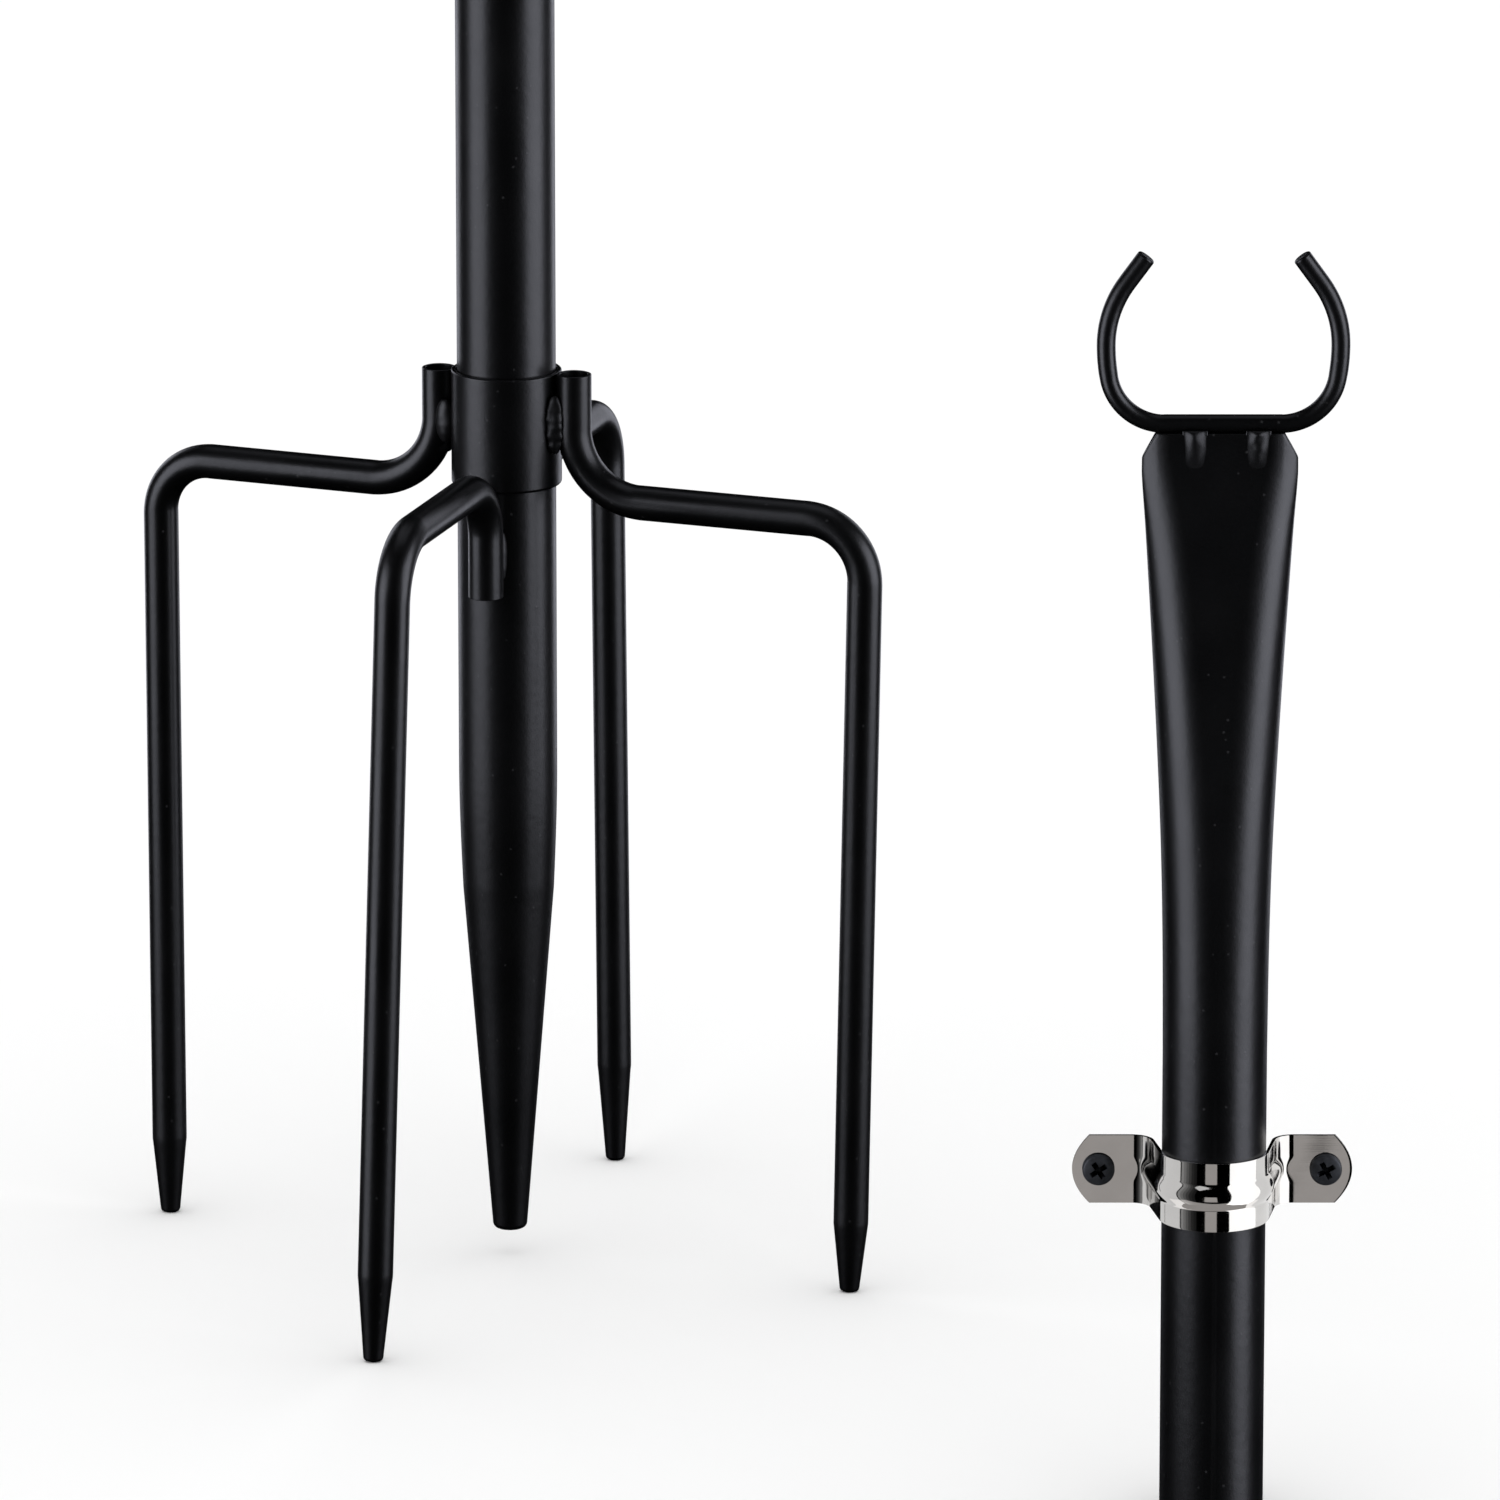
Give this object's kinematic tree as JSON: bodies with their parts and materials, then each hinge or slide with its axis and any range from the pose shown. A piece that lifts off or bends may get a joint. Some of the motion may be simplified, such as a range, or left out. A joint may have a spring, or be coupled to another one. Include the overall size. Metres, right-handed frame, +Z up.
{
  "type": "garden pole ends",
  "caption": "Pronged spike base with a plug-in pole tube, and a flattened pole top with a C-shaped wire cradle and a screw-on saddle strap.",
  "frame": {"origin": "on the ground plane under the spike's axis, at the level of the prong tips", "axes": "+Z up along the pole, +X to the right with the top section at +X, -Y towards the viewer"},
  "size_m": [0.3048, 0.3275, 0.388],
  "materials": {
    "black_powder_coat": "satin black powder coat with a fine grain",
    "coated_weld": "lumpy weld bead under the same black coat",
    "polished_steel": "mirror polished stainless steel",
    "black_screw": "black oxide, slightly glossy"
  },
  "bodies": {
    "stake_base": {"spike_tube": "black_powder_coat", "collar": "black_powder_coat", "prong_front": "black_powder_coat", "prong_back": "black_powder_coat", "prong_left": "black_powder_coat", "prong_right": "black_powder_coat", "weld_front": "coated_weld", "weld_back": "coated_weld", "weld_left": "coated_weld", "weld_right": "coated_weld"},
    "pole_tube": {"base_pole": "black_powder_coat"},
    "top_section": {"top_pole": "black_powder_coat", "cradle": "black_powder_coat", "weld_cradle_left": "coated_weld", "weld_cradle_right": "coated_weld"},
    "saddle_strap": {"strap": "polished_steel"},
    "left_screw": {"screw_left": "black_screw"},
    "right_screw": {"screw_right": "black_screw"}
  },
  "joints": [
    {"name": "pole_pull_out", "type": "slide", "parent": "stake_base", "child": "pole_tube", "axis": [0, 0, 1], "range_m": [0, 0.045]},
    {"name": "top_turn", "type": "hinge", "parent": "stake_base", "child": "top_section", "pos_m": [0.1755, -0.222, 0], "axis": [0, 0, 1], "continuous": true},
    {"name": "strap_slide", "type": "slide", "parent": "top_section", "child": "saddle_strap", "axis": [0, 0, 1], "range_m": [-0.055, 0.018]},
    {"name": "left_screw_turn", "type": "hinge", "parent": "saddle_strap", "child": "left_screw", "pos_m": [0.1477, -0.2093, 0.0841], "axis": [0, 1, 0], "continuous": true},
    {"name": "right_screw_turn", "type": "hinge", "parent": "saddle_strap", "child": "right_screw", "pos_m": [0.2033, -0.2093, 0.0841], "axis": [0, 1, 0], "continuous": true}
  ]
}
